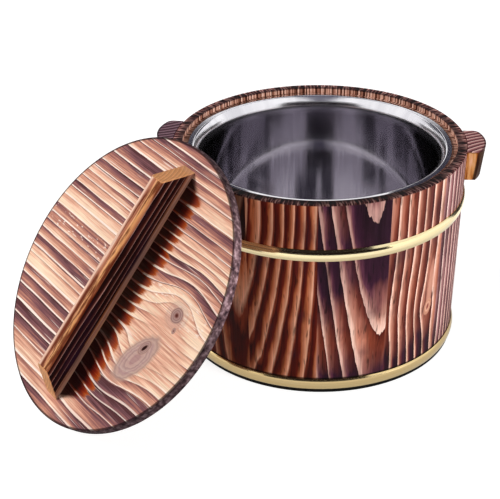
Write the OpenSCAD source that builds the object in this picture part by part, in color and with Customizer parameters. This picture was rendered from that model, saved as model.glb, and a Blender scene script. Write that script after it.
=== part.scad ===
// Coopered rice tub: tapered staves in two metal hoops, a doweled plank bottom held in a groove,
// a lift-out steel liner hung by its flange in the rim, two side lugs, and a plank lid that
// stands on the floor and leans on the rim. Millimetres; +Z is the tub's axis, z = 0 the floor.

/* [Tub wall] */
// Height of the staves
tub_h = 185; // [165:1:215]
// Outer radius of the rim
rim_r = 130; // [118:1:150]
// How much smaller the wall's outer radius is at the foot than at the rim
taper = 6; // [0:0.5:12]
// Number of staves round the wall
stave_count = 13; // [10:1:16]
// Direction of the first seam between staves, in degrees from +X
first_seam = -90; // [-180:1:180]
// Thickness of a stave
stave_t = 16; // [14:0.5:20]
// Small bevel on every worked edge of the wood
edge_ease = 0.8; // [0.2:0.1:1.2]

/* [Rim] */
// Width of the flat land on top of the rim
rim_land = 8.4; // [6:0.1:10]
// Depth of the rabbet inside the rim, which takes the liner's flange and the lid's step
rabbet_d = 4.6; // [4:0.1:7]

/* [Stave pins] */
// Diameter of the pins between neighbouring staves
pin_d = 5; // [3:0.5:6]
// Length of a pin, half of it in each stave
pin_l = 22; // [14:1:28]
// Height of the lower row of pins
pin_low_z = 60; // [40:1:75]
// Height of the upper row of pins
pin_high_z = 118; // [95:1:128]

/* [Bottom] */
// Height of the bottom's underside above the floor
board_lift = 10; // [6:1:16]
// Thickness of the bottom planks
board_t = 12; // [8:0.5:18]
// Depth of the groove in the staves that holds the bottom
croze_d = 4; // [2:0.5:6]
// Room left for the bottom to swell in its groove
croze_gap = 0.4; // [0.1:0.1:1]
// Number of planks in the bottom
board_count = 3; // [2:1:4]
// Direction across the bottom planks, in degrees from +X
board_turn = 20; // [-90:1:90]
// Diameter of the dowels between bottom planks
board_dowel_d = 5; // [3:0.5:7]
// Length of a dowel between bottom planks
board_dowel_l = 26; // [16:1:36]
// Distance between the two dowels in a seam of the bottom
board_dowel_pitch = 120; // [60:1:150]

/* [Hoops] */
// Bare wall between the lugs' underside and the upper hoop
upper_hoop_gap = 14.3; // [4:0.1:24]
// Width of the upper hoop
upper_hoop_w = 11; // [7:0.5:13]
// Height of the lower hoop's lower edge above the floor
lower_hoop_z = 4.4; // [2:0.1:20]
// Width of the lower hoop
lower_hoop_w = 10; // [7:0.5:16]
// Thickness of a hoop along its edges
hoop_edge_t = 0.8; // [0.4:0.1:1.4]
// How far a hoop's crown stands out beyond its edges
hoop_crown = 1.3; // [0:0.1:2.5]

/* [Lugs] */
// Direction of the right lug, in degrees from +X
right_lug_turn = 0; // [-20:1:20]
// Direction of the left lug, in degrees from +X
left_lug_turn = 173; // [165:1:195]
// Width of a lug along the rim
lug_w = 45.6; // [36:0.1:56]
// How far a lug stands out from the rim
lug_out = 16.3; // [12:0.1:24]
// Height of a lug, measured down from the rim
lug_h = 27; // [24:0.5:38]
// Radius of a lug's bowed outer face, along its top
lug_bow_r = 46; // [36:1:90]
// Radius of the corners between a lug's ends and its bowed face
lug_corner_r = 7; // [3:0.5:9]
// How far a lug's outer face is undercut at its foot, for the fingers
lug_undercut = 3.4; // [0:0.1:5]
// Diameter of the dowels that pin a lug to its stave
lug_dowel_d = 7; // [5:0.5:8]
// Length of such a dowel inside the lug
lug_dowel_out = 11; // [7:0.5:12]
// Length of such a dowel inside the stave
lug_dowel_in = 10; // [6:0.5:12]
// Height of the lower dowel above the lug's underside
lug_dowel_low = 7; // [5:0.5:9]
// Distance between a lug's two dowels
lug_dowel_pitch = 11; // [9:0.5:14]

/* [Liner] */
// Thickness of the liner's sheet
sheet_t = 0.8; // [0.5:0.1:1.5]
// Height of the inside of the liner's floor above the tub's floor
liner_floor_z = 39; // [30:1:70]
// Gap between the liner and the staves at the liner's floor
liner_gap = 2.4; // [1:0.1:3]
// Radius of the corner between the liner's floor and wall
liner_corner_r = 7; // [5:1:24]
// Width of ledge left bare between the flange and the rabbet's wall
ledge_show = 5; // [3.5:0.1:6]
// Radius of the long curve from the liner's wall into its lip
lip_fall_r = 11.5; // [8:0.1:12]
// Radius of the short curve from the lip into the flat flange
lip_roll_r = 3; // [1.5:0.1:5]
// Angle turned by the long curve, in degrees
lip_fall_turn = 55; // [40:1:70]

/* [Lid] */
// Thickness of the lid at its edge
lid_t = 9; // [7:0.5:14]
// How far the lid's edge stands out beyond the rim when it is closed
lid_over = 0; // [0:0.1:4]
// Depth of the step under the lid that drops into the rabbet
lid_step_d = 2.5; // [1.5:0.1:3.4]
// Gap between that step and the rabbet's wall
lid_step_gap = 1.2; // [0.6:0.1:2.5]
// Number of planks in the lid
lid_plank_count = 4; // [3:1:5]
// Diameter of the dowels between lid planks
lid_dowel_d = 5; // [3:0.5:6]
// Length of a dowel between lid planks
lid_dowel_l = 26; // [16:1:34]
// Distance between the two dowels in a seam of the lid
lid_dowel_pitch = 140; // [80:1:156]

/* [Lid handle] */
// Length of the handle where it sits on the lid
handle_base_l = 224.8; // [200:0.1:228]
// Length of the handle along its top
handle_top_l = 185.4; // [150:0.1:190]
// Width of the handle
handle_w = 16.4; // [13:0.1:24]
// Height of the handle above the lid
handle_h = 24.8; // [20:0.1:32]
// Distance of the handle from the middle of the lid
handle_off = 5.7; // [0:0.1:8]
// Shank diameter of the screws that hold the handle
screw_d = 4; // [3:0.5:5]
// Length of a screw
screw_l = 26; // [22:1:28]
// Head diameter of a screw
screw_head_d = 7.6; // [6.6:0.1:9]
// Width of the cross cut in a screw's head
screw_slot_w = 1; // [0.6:0.1:1.2]
// Depth of that cross cut
screw_slot_d = 1.1; // [0.5:0.1:1.3]
// Least distance from the outer screws to the end of the handle's top
screw_inset = 6; // [4:0.5:14]

/* [Leaning lid] */
// Direction from the tub's axis in which the lid leans, in degrees from +X
lean_turn = -140.8; // [-180:0.1:-100]
// Sideways shift of the leaning lid
lean_side = -13.9; // [-20:0.1:20]
// How much of the lid reaches past the rim that it leans on
lean_past = 21.6; // [14:0.1:26]
// Turn of the leaning lid about its own middle, in degrees
lid_turn = -3.1; // [-45:0.1:45]
// Gap between the leaning lid and the rim's edge
lean_gap = 0.3; // [0.2:0.1:1]

/* [Fits] */
// Gap between a hoop or lug and the wall it grips
wall_fit = 0.02; // [0.01:0.01:0.1]
// Gap round a pin, dowel or screw in its hole
hole_fit = 0.05; // [0.02:0.01:0.2]

/* [Hidden] */
$fa = 3;
$fs = 0.5;
// Room by which a cutting shape runs past what it cuts
cut = 1;
// Straight steps along each rounded stretch of an outline
arc_steps = 10;

stave_turn = 360 / stave_count;
upper_hoop_z = tub_h - lug_h - upper_hoop_gap - upper_hoop_w;
rabbet_r = rim_r - rim_land;
ledge_z = tub_h - rabbet_d;
board_top = board_lift + board_t;
croze_r = inner_r(board_top) + croze_d;
board_r = croze_r - croze_gap;
board_w = 2 * board_r / board_count;

// The bow's centre, the centres of a lug's corners, and the width of the bow between those corners
lug_bow_x = rim_r + lug_out - lug_bow_r;
lug_corner_x = lug_bow_x + sqrt(
    pow(lug_bow_r - lug_corner_r, 2) - pow(lug_w / 2 - lug_corner_r, 2)
);
lug_bow_w = (lug_w - 2 * lug_corner_r) * lug_bow_r / (lug_bow_r - lug_corner_r);

liner_r = inner_r(liner_floor_z) - liner_gap - sheet_t;
flange_r = rabbet_r - ledge_show;
flange_z = ledge_z + sheet_t;
lip_roll_a = 180 - lip_fall_turn;
lip_fall_c = [
    liner_r + lip_fall_r,
    flange_z - lip_roll_r - (lip_fall_r - lip_roll_r) * sin(lip_roll_a)
];
lip_roll_c = lip_fall_c + (lip_fall_r - lip_roll_r) * [cos(lip_roll_a), sin(lip_roll_a)];

lid_r = rim_r + lid_over;
lid_step_r = rabbet_r - lid_step_gap;
lid_all_t = lid_t + lid_step_d;
lid_plank_w = 2 * lid_r / lid_plank_count;
screw_head_h = (screw_head_d - screw_d) / 2;
screw_reach = handle_top_l / 2 - screw_inset;

// The lean: the lid's lower back edge is on the floor and its underside passes the rim's top edge.
lean_run = 2 * lid_r - lean_past;
lean_drop = lid_step_d + lean_gap;
lean_up = acos(tub_h / norm([lean_run, lean_drop])) - atan(lean_drop / lean_run);
lean_z = max(
    (lid_r - edge_ease) * cos(lean_up) + lid_t * sin(lean_up),
    lid_r * cos(lean_up) + (lid_t - edge_ease) * sin(lean_up)
);
rim_edge = max(
    (rim_r - edge_ease) * cos(lean_up) + tub_h * sin(lean_up),
    wall_r(tub_h - edge_ease) * cos(lean_up) + (tub_h - edge_ease) * sin(lean_up)
);
lean_out = (rim_edge + lid_all_t + lean_gap - lean_z * sin(lean_up)) / cos(lean_up);

charred_cedar = [0.30, 0.17, 0.13];
brushed_cedar = [0.80, 0.62, 0.48];
pale_cedar = [0.76, 0.58, 0.42];
bamboo = [0.82, 0.70, 0.48];
brass = [0.86, 0.72, 0.42];
steel = [0.72, 0.73, 0.75];

STAVES = [for (i = [1 : stave_count]) str("stave_", i < 10 ? "0" : "", i)];
BOARDS = [for (i = [1 : board_count]) str("bottom_plank_", i)];
LID_PLANKS = [for (i = [1 : lid_plank_count]) str("lid_plank_", i)];

// Outer and inner radius of the stave wall at a height
function wall_r(z) = rim_r - taper * (1 - z / tub_h);
function inner_r(z) = wall_r(z) - stave_t;

// Points along an arc about a centre
function arc(centre, r, from, to) = [
    for (k = [0 : arc_steps])
        let (a = from + (to - from) * k / arc_steps)
        centre + r * [cos(a), sin(a)]
];

// Distance of a plank's near edge from the middle of a round panel
function plank_edge(r, count, i) = r * (2 * i / count - 1);

// Where a lid plank's screw sits along the handle: the middle of what the handle's top covers
function screw_at(i) = (
    max(plank_edge(lid_r, lid_plank_count, i), -screw_reach)
    + min(plank_edge(lid_r, lid_plank_count, i + 1), screw_reach)
) / 2;

// Half-section of the stave wall: foot, outside, rim, rabbet and groove for the bottom
function stave_outline() = [
    [wall_r(0) - edge_ease, 0],
    [wall_r(edge_ease), edge_ease],
    [wall_r(tub_h - edge_ease), tub_h - edge_ease],
    [rim_r - edge_ease, tub_h],
    [rabbet_r, tub_h],
    [rabbet_r, ledge_z],
    [inner_r(ledge_z), ledge_z],
    [inner_r(board_top), board_top],
    [croze_r, board_top],
    [croze_r, board_lift],
    [inner_r(board_lift), board_lift],
    [inner_r(0), 0]
];

// Half-section of a hoop: it follows the wall's taper inside and is crowned outside
function hoop_outline(z, w) = concat(
    [[wall_r(z + w) + wall_fit, z + w], [wall_r(z) + wall_fit, z]],
    [
        for (k = [0 : arc_steps])
            let (s = k / arc_steps, h = z + w * s, crown = hoop_crown * (1 - pow(2 * s - 1, 2)))
            [wall_r(h) + wall_fit + hoop_edge_t + crown, h]
    ]
);

// Half-section of the liner: the inside from floor to flange, then the outside back again
function liner_outline() = concat(
    [[0, liner_floor_z]],
    arc([liner_r - liner_corner_r, liner_floor_z + liner_corner_r], liner_corner_r, -90, 0),
    arc(lip_fall_c, lip_fall_r, 180, lip_roll_a),
    arc(lip_roll_c, lip_roll_r, lip_roll_a, 90),
    [[flange_r, flange_z], [flange_r, ledge_z]],
    arc(lip_roll_c, lip_roll_r - sheet_t, 90, lip_roll_a),
    arc(lip_fall_c, lip_fall_r - sheet_t, lip_roll_a, 180),
    arc(
        [liner_r - liner_corner_r, liner_floor_z + liner_corner_r],
        liner_corner_r + sheet_t, 0, -90
    ),
    [[0, liner_floor_z - sheet_t]]
);

// Half-section of the lid: its top is at zero and the step is below its edge
function lid_outline() = [
    [0, -lid_all_t],
    [lid_step_r - edge_ease, -lid_all_t],
    [lid_step_r, edge_ease - lid_all_t],
    [lid_step_r, -lid_t],
    [lid_r - edge_ease, -lid_t],
    [lid_r, edge_ease - lid_t],
    [lid_r, -edge_ease],
    [lid_r - edge_ease, 0],
    [0, 0]
];

// Puts a shape that lies along Y on a seam between staves
module at_seam(i, z) {
    rotate([0, 0, first_seam + stave_turn * i])
        translate([wall_r(z) - stave_t / 2, 0, z])
            rotate([90, 0, 0])
                children();
}

// Puts a shape that runs along Z on a lug's dowel, pointing out of the wall at z = 0
module at_lug_dowel(turn, n) {
    z = tub_h - lug_h + lug_dowel_low + lug_dowel_pitch * n;
    rotate([0, 0, turn])
        translate([wall_r(z), 0, z])
            rotate([0, 90, 0])
                children();
}

// Puts a shape that runs along Z on each dowel of the seams of a round panel, along X
module at_panel_dowels(r, count, pitch, z) {
    for (i = [1 : count - 1], side = [-1, 1])
        translate([plank_edge(r, count, i), side * pitch / 2, z])
            rotate([0, 90, 0])
                children();
}

// Carries the closed lid, top face up at the origin, to where it leans on the rim
module leaning() {
    rotate([0, 0, lean_turn])
        translate([lean_out, lean_side, lean_z])
            rotate([0, 90 - lean_up, 0])
                rotate([0, 0, lid_turn])
                    children();
}

// One plank's strip of a round panel
module plank_strip(r, count, i, low, high) {
    translate([plank_edge(r, count, i), -r - cut, low - cut])
        cube([2 * r / count, 2 * (r + cut), high - low + 2 * cut]);
}

module stave_pin(fit) {
    cylinder(d = pin_d + 2 * fit, h = pin_l, center = true);
}

module lug_dowel(fit) {
    translate([0, 0, -lug_dowel_in])
        cylinder(d = lug_dowel_d + 2 * fit, h = lug_dowel_in + lug_dowel_out);
}

module all_stave_pins(seams, fit) {
    for (i = seams, z = [pin_low_z, pin_high_z])
        at_seam(i, z)
            stave_pin(fit);
}

module all_lug_dowels(fit) {
    for (turn = [right_lug_turn, left_lug_turn], n = [0, 1])
        at_lug_dowel(turn, n)
            lug_dowel(fit);
}

module all_board_dowels(fit) {
    rotate([0, 0, board_turn])
        at_panel_dowels(board_r, board_count, board_dowel_pitch, board_lift + board_t / 2)
            cylinder(d = board_dowel_d + 2 * fit, h = board_dowel_l, center = true);
}

module all_lid_dowels(fit) {
    at_panel_dowels(lid_r, lid_plank_count, lid_dowel_pitch, -lid_all_t / 2)
        cylinder(d = lid_dowel_d + 2 * fit, h = lid_dowel_l, center = true);
}

// Screw with a countersunk head, flush with the lid's underside and running up into the handle
module screw_body(fit) {
    rotate_extrude()
        polygon([
            [0, 0],
            [screw_head_d / 2 + fit, 0],
            [screw_d / 2 + fit, screw_head_h],
            [screw_d / 2 + fit, screw_l],
            [0, screw_l]
        ]);
}

module at_handle_screws() {
    for (i = [0 : lid_plank_count - 1])
        translate([screw_at(i), handle_off, -lid_all_t])
            children();
}

// A tapered stave with its rabbet and groove, bored for its pins and for any lug dowel in it
module stave(i) {
    color(charred_cedar)
        difference() {
            rotate([0, 0, first_seam + stave_turn * i])
                rotate_extrude(angle = stave_turn)
                    polygon(stave_outline());
            all_stave_pins([i, i + 1], hole_fit);
            all_lug_dowels(hole_fit);
        }
}

// Pins that line up neighbouring staves
module stave_pins() {
    color(bamboo)
        all_stave_pins([0 : stave_count - 1], 0);
}

// One plank of the bottom, held in the staves' groove
module bottom_plank(i) {
    color(pale_cedar)
        difference() {
            rotate([0, 0, board_turn])
                intersection() {
                    translate([0, 0, board_lift])
                        cylinder(r = board_r, h = board_t);
                    plank_strip(board_r, board_count, i, board_lift, board_top);
                }
            all_board_dowels(hole_fit);
        }
}

// Dowels between the bottom's planks
module bottom_dowels() {
    color(bamboo)
        all_board_dowels(0);
}

// A crowned hoop driven up the wall's taper
module hoop(z, w) {
    color(brass)
        rotate_extrude()
            polygon(hoop_outline(z, w));
}

// Block of a lug before its face is bowed: its corners are rounded, to meet the bow without an edge
module lug_block() {
    near = inner_r(tub_h - lug_h);
    translate([near, -lug_w / 2, 0])
        cube([lug_corner_x - near, lug_w, lug_h]);
    translate([near, -lug_bow_w / 2, 0])
        cube([rim_r + lug_out - near, lug_bow_w, lug_h]);
    for (side = [-1, 1])
        translate([lug_corner_x, side * (lug_w / 2 - lug_corner_r), 0])
            cylinder(r = lug_corner_r, h = lug_h);
}

// A lug: its back is hollowed to sit against the wall, its outer face is bowed and undercut
module lug(turn) {
    color(charred_cedar)
        difference() {
            rotate([0, 0, turn])
                translate([0, 0, tub_h - lug_h])
                    intersection() {
                        lug_block();
                        translate([lug_bow_x, 0, 0])
                            cylinder(r1 = lug_bow_r - lug_undercut, r2 = lug_bow_r, h = lug_h);
                    }
            cylinder(r1 = wall_r(0) + wall_fit, r2 = wall_r(tub_h + cut) + wall_fit, h = tub_h + cut);
            all_lug_dowels(hole_fit);
        }
}

// Dowels that pin both lugs to their staves
module lug_dowels() {
    color(bamboo)
        all_lug_dowels(0);
}

// The pressed steel liner, hung by its flange
module liner() {
    color(steel)
        rotate_extrude()
            polygon(liner_outline());
}

// One plank of the lid, bored for its dowels and for its screw
module lid_plank(i) {
    color(brushed_cedar)
        leaning()
            difference() {
                intersection() {
                    rotate_extrude()
                        polygon(lid_outline());
                    plank_strip(lid_r, lid_plank_count, i, -lid_all_t, 0);
                }
                all_lid_dowels(hole_fit);
                at_handle_screws()
                    screw_body(hole_fit);
            }
}

// Dowels between the lid's planks
module lid_dowels() {
    color(bamboo)
        leaning()
            all_lid_dowels(0);
}

// The bar across the lid's planks, with sloping ends and eased top edges
module lid_handle() {
    color(charred_cedar)
        leaning()
            difference() {
                translate([0, handle_off, 0])
                    intersection() {
                        rotate([90, 0, 0])
                            linear_extrude(handle_w, center = true)
                                polygon([
                                    [-handle_base_l / 2, 0],
                                    [handle_base_l / 2, 0],
                                    [handle_top_l / 2, handle_h],
                                    [-handle_top_l / 2, handle_h]
                                ]);
                        rotate([90, 0, 90])
                            linear_extrude(handle_base_l + 2 * cut, center = true)
                                polygon([
                                    [-handle_w / 2, 0],
                                    [handle_w / 2, 0],
                                    [handle_w / 2, handle_h - edge_ease],
                                    [handle_w / 2 - edge_ease, handle_h],
                                    [edge_ease - handle_w / 2, handle_h],
                                    [-handle_w / 2, handle_h - edge_ease]
                                ]);
                    }
                at_handle_screws()
                    screw_body(hole_fit);
            }
}

// Cross-headed screws up through the planks into the handle
module handle_screws() {
    color(steel)
        leaning()
            at_handle_screws()
                difference() {
                    screw_body(0);
                    for (turn = [0, 90])
                        rotate([0, 0, turn])
                            translate([-screw_d / 2, -screw_slot_w / 2, -cut])
                                cube([screw_d, screw_slot_w, screw_slot_d + cut]);
                }
}

for (i = [0 : stave_count - 1])
    stave(i);
stave_pins();
for (i = [0 : board_count - 1])
    bottom_plank(i);
bottom_dowels();
hoop(upper_hoop_z, upper_hoop_w);  // upper_hoop
hoop(lower_hoop_z, lower_hoop_w);  // lower_hoop
lug(right_lug_turn);  // right_lug
lug(left_lug_turn);  // left_lug
lug_dowels();
liner();
for (i = [0 : lid_plank_count - 1])
    lid_plank(i);
lid_dowels();
lid_handle();
handle_screws();
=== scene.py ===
"""Looks of the rice tub: burnt and brushed cedar, polished brass hoops, a brushed steel liner."""

import math
import random

import bpy
from mathutils import Matrix, Vector

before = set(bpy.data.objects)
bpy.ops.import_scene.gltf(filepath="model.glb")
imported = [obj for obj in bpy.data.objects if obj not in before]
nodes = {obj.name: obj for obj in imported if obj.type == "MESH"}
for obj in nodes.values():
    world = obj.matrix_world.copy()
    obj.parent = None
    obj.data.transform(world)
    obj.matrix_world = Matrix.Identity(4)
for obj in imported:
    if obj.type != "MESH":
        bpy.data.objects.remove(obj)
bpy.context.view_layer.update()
scene = bpy.context.scene

MM = 0.001

# Sizes of the solids in millimetres, and turns in degrees
RIM_R = 130.0
TUB_H = 185.0
TAPER = 6.0
RIM_LAND = 8.4
LEDGE_Z = 180.4
LOWER_HOOP_TOP = 14.4
STAVE_COUNT = 13
FIRST_SEAM = -90.0
STAVE_TURN = 360.0 / STAVE_COUNT
LUG_OUT = 16.3
LUG_H = 27.0
LUG_BOW_R = 46.0
LUG_UNDERCUT = 3.4
LUG_TURNS = {"right_lug": 0.0, "left_lug": 173.0}
LINER_R = 106.0
LINER_FLOOR_Z = 39.0
LIP_Z = 168.0
FLANGE_Z = 181.2
LID_R = 130.0
LID_T = 9.0
LID_PLANKS = 4
HANDLE_H = 24.8
HANDLE_REACH = 92.7
HANDLE_SLOPE = 0.794
HANDLE_OFF = 5.7
HANDLE_W = 16.4
BOARD_TURN = 20.0
BOARD_LIFT = 10.0
LEAN_TURN = -140.8
LEAN_UP = 38.435
LEAN_OUT = 206.36
LEAN_SIDE = -13.9
LEAN_Z = 106.93
LID_TURN = -3.1


def tint(code):
    """Turns an sRGB hex colour into linear light."""
    parts = [int(code[i:i + 2], 16) / 255 for i in (1, 3, 5)]
    return [p / 12.92 if p <= 0.04045 else ((p + 0.055) / 1.055) ** 2.4 for p in parts] + [1.0]


def add(tree, kind, ins=(), out=0, stops=None, steps=False, **settings):
    """Adds one node, sets it, fills or links its inputs and returns one of its outputs."""
    node = tree.nodes.new("ShaderNode" + kind)
    for name, value in settings.items():
        setattr(node, name, value)
    for key, value in (ins.items() if isinstance(ins, dict) else enumerate(ins)):
        if isinstance(value, bpy.types.NodeSocket):
            tree.links.new(value, node.inputs[key])
        elif value is not None:
            node.inputs[key].default_value = value
    if stops:
        ramp = node.color_ramp.elements
        while len(ramp) < len(stops):
            ramp.new(0.5)
        for element, (place, level) in zip(ramp, stops):
            element.position = place
            element.color = tint(level) if isinstance(level, str) else (level, level, level, 1.0)
        node.color_ramp.interpolation = "CONSTANT" if steps else "LINEAR"
    return node.outputs[out] if len(node.outputs) else node


def new_material(name):
    """An empty material, and the tree its nodes go in."""
    material = bpy.data.materials.new(name)
    material.use_nodes = True
    material.node_tree.nodes.clear()
    return material, material.node_tree


def dress(node, material):
    """Gives a solid its material."""
    mesh = nodes[node].data
    mesh.materials.clear()
    mesh.materials.append(material)


# Camera at the photograph's place: angles in radians, focal length in pixels, clipping in metres

EYE = Vector((0.0, -1143.294, 692.794)) * MM
PITCH, YAW, ROLL = 0.4959034, -0.0548102, -0.0121472
FOCAL_PX, IMAGE_W, SENSOR_MM = 1408.066, 500.0, 36.0
NEAR, FAR = 0.05, 50.0

ahead = Vector((math.sin(YAW) * math.cos(PITCH), math.cos(YAW) * math.cos(PITCH), -math.sin(PITCH)))
level = Vector((math.cos(YAW), -math.sin(YAW), 0.0))
rise = level.cross(ahead)
right = math.cos(ROLL) * level + math.sin(ROLL) * rise
up = math.cos(ROLL) * rise - math.sin(ROLL) * level
camera_data = bpy.data.cameras.new("photo_camera")
camera_data.sensor_width = SENSOR_MM
camera_data.lens = SENSOR_MM * FOCAL_PX / IMAGE_W
camera_data.clip_start = NEAR
camera_data.clip_end = FAR
camera = bpy.data.objects.new("photo_camera", camera_data)
camera.matrix_world = Matrix.Translation(EYE) @ Matrix((right, up, -ahead)).transposed().to_4x4()
scene.collection.objects.link(camera)
scene.camera = camera


# Cedar, burnt with a flame, brushed and thinly varnished. Each piece has axes of its own, in
# millimetres: across its grain lines, into the wood and along the grain. Its year rings are counted
# outwards from the pith of the tree. The flame chars the soft wood that starts a ring, and the brush
# leaves the hard pale line at its end, so the eye gets dark bands between raised pale lines.

# Patterns in the wood: how wide their streaks are in millimetres, how far they are drawn out along
# the grain (1 is round, less is longer), their detail, and their roughness where it isn't plain
SWAY = (34.0, 0.3, 3.0)
WAVER = (3.0, 0.1, 3.0)
SWELL = (7.0, 0.16, 2.0)
CLOUD = (22.0, 0.35, 4.0)
SOOT_PATCH = (30.0, 0.5, 5.0, 0.6)
FIBRE = (1.1, 0.03, 3.0)
STREAK = (3.5, 0.03, 2.0)
DASH = (1.6, 0.12, 1.0)
KNOT_RAGGED = (6.0, 1.0, 2.0)
# Nearly all values of one such pattern, and of two added up, lie between these
MOST = (0.3, 0.7)
MOST_OF_TWO = (0.6, 1.4)
# How far rings waver, in rings, and how their dark part varies from ring to ring and along the grain
WAVER_RINGS = 0.16
RING_WIDTHS = (0.7, 1.35)
SWELL_WIDTHS = (0.65, 1.45)
# How much the burn varies by ring and by place
BURN_BY_RING = 0.4
BURN_BY_PLACE = 1.6
BURN_SHIFT = -1.0
# Soot in patches, and short dark dashes that the brush missed. As in DASH_SHADE, a change is written
# as from, to, and the two values there.
SOOT = "#281022"
SOOT_EDGE = (0.52, 0.72)
DASH_SHADE = (0.29, 0.37, 0.4, 1.0)
# Fibres: how they shade the colour, how they vary the roughness, and how high they stand
FIBRE_SHADE = (0.6, 1.36)
FIBRE_ROUGH = (0.75, 0.58)
FIBRE_HEIGHT = 0.5
# Depth of the brushed relief in millimetres, and how strongly it shows
RELIEF_MM = 0.35
RELIEF_SHOW = 0.6
# So large that depth in the wood no longer counts
NO_DEPTH = 1e6


def wood_axes(tree, origin, across, inward):
    """Position in a piece's own axes, and its three parts."""
    turn = Matrix((across, inward, across.cross(inward))).transposed()
    place = {"Location": origin * MM, "Rotation": turn.to_euler(), "Scale": (MM, MM, MM)}
    rest = add(tree, "TexCoord", out="Object")
    spot = add(tree, "Mapping", {"Vector": rest, **place}, vector_type="TEXTURE")
    parts = add(tree, "SeparateXYZ", [spot]).node.outputs
    return spot, parts["X"], parts["Y"], parts["Z"]


def streaks(tree, spot, wide, drawn, detail, roughness=0.5):
    """Cloudy streaks of a width in millimetres, drawn out along the grain."""
    along = add(tree, "VectorMath", (spot, (1.0, 1.0, drawn)), operation="MULTIPLY")
    ins = {"Vector": along, "Scale": 1 / wide, "Detail": detail, "Roughness": roughness}
    return add(tree, "TexNoise", ins)


def layered(tree, colour, *layers):
    """Lays tones over a colour, one after another, each as far as its share goes."""
    for share, tones in layers:
        colour = add(tree, "Mix", {0: share, 6: colour, 7: tones}, out=2, data_type="RGBA")
    return colour


def stave_rings(tree, spot, across, inward, along, cut):
    """Ring count on a piece: straight, leaning or fanned lines, or nested points near the pith."""
    drop = add(tree, "Math", (along, -1.0, cut["z"]), operation="MULTIPLY_ADD")
    lean = add(tree, "Math", (drop, cut["bend"], cut["lean"]), operation="MULTIPLY_ADD")
    shift = add(tree, "Math", (drop, lean), operation="MULTIPLY")
    reach = add(tree, "Math", (along, -cut["swell_z"]), operation="ADD")
    reach = add(tree, "Math", (reach, cut["swell_reach"]), operation="DIVIDE")
    reach = add(tree, "Math", (reach, reach), operation="MULTIPLY")
    reach = add(tree, "Math", (reach, -1.0), operation="MULTIPLY")
    swell = add(tree, "Math", (reach,), operation="EXPONENT")
    shift = add(tree, "Math", (swell, cut["swell"], shift), operation="MULTIPLY_ADD")
    side = add(tree, "Math", (across, shift), operation="ADD")
    fan = add(tree, "Math", (shift, cut["fan"], 1.0), operation="MULTIPLY_ADD")
    side = add(tree, "Math", (side, fan), operation="DIVIDE")
    sway = streaks(tree, spot, *SWAY)
    side = add(tree, "Math", (sway, 2 * cut["sway"], side), operation="MULTIPLY_ADD")
    side = add(tree, "Math", (side, -cut["pith"] - cut["sway"]), operation="ADD")
    deep = add(tree, "Math", (drop, cut["dive"], inward), operation="MULTIPLY_ADD")
    deep = add(tree, "Math", (deep, cut["depth"]), operation="ADD")
    away = add(tree, "CombineXYZ", (side, deep))
    away = add(tree, "VectorMath", [away], out="Value", operation="LENGTH")
    return add(tree, "Math", (away, 1 / cut["spacing"], cut["phase"]), operation="MULTIPLY_ADD")


def burnt_cedar(tree, spot, rings, burn, pale, charred, sooty=0.75):
    """Colour, roughness and height of burnt and brushed cedar with the given ring count."""
    waver = streaks(tree, spot, *WAVER)
    rings = add(tree, "Math", (waver, WAVER_RINGS, rings), operation="MULTIPLY_ADD")
    rings = add(tree, "Math", (rings, -WAVER_RINGS / 2), operation="ADD")
    part = add(tree, "Math", (rings,), operation="FRACT")
    number = add(tree, "Math", (rings,), operation="FLOOR")
    luck = add(tree, "TexWhiteNoise", {"W": number}, noise_dimensions="1D")
    width = add(tree, "MapRange", (luck, 0.0, 1.0, *RING_WIDTHS))
    swell = streaks(tree, spot, *SWELL)
    swell = add(tree, "MapRange", (swell, *MOST, *SWELL_WIDTHS))
    width = add(tree, "Math", (width, swell), operation="MULTIPLY")
    part = add(tree, "Math", (part, width), operation="POWER")
    cloud = streaks(tree, spot, *CLOUD)
    burn = add(tree, "Math", (luck, BURN_BY_RING, burn), operation="MULTIPLY_ADD")
    burn = add(tree, "Math", (cloud, BURN_BY_PLACE, burn), operation="MULTIPLY_ADD")
    burn = add(tree, "Math", (burn, BURN_SHIFT), operation="ADD", use_clamp=True)
    light = add(tree, "ValToRGB", [part], stops=pale)
    dark = add(tree, "ValToRGB", [part], stops=charred)
    soot_and_shade = streaks(tree, spot, *SOOT_PATCH)
    soot_and_shade = add(tree, "MapRange", (soot_and_shade, *SOOT_EDGE, 0.0, sooty))
    colour = layered(tree, light, (burn, dark), (soot_and_shade, tint(SOOT)))
    fibre = streaks(tree, spot, *FIBRE)
    streak = streaks(tree, spot, *STREAK)
    both = add(tree, "Math", (fibre, streak), operation="ADD")
    shade = add(tree, "MapRange", (both, *MOST_OF_TWO, *FIBRE_SHADE))
    dash = streaks(tree, spot, *DASH)
    dash = add(tree, "MapRange", (dash, *DASH_SHADE))
    shade = add(tree, "Math", (shade, dash), operation="MULTIPLY")
    colour = add(tree, "VectorMath", {0: colour, "Scale": shade}, operation="SCALE")
    rough = add(tree, "MapRange", (both, *MOST_OF_TWO, *FIBRE_ROUGH))
    height = add(tree, "Math", (part, 2.0), operation="POWER")
    height = add(tree, "Math", (both, FIBRE_HEIGHT, height), operation="MULTIPLY_ADD")
    return colour, rough, height


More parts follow.
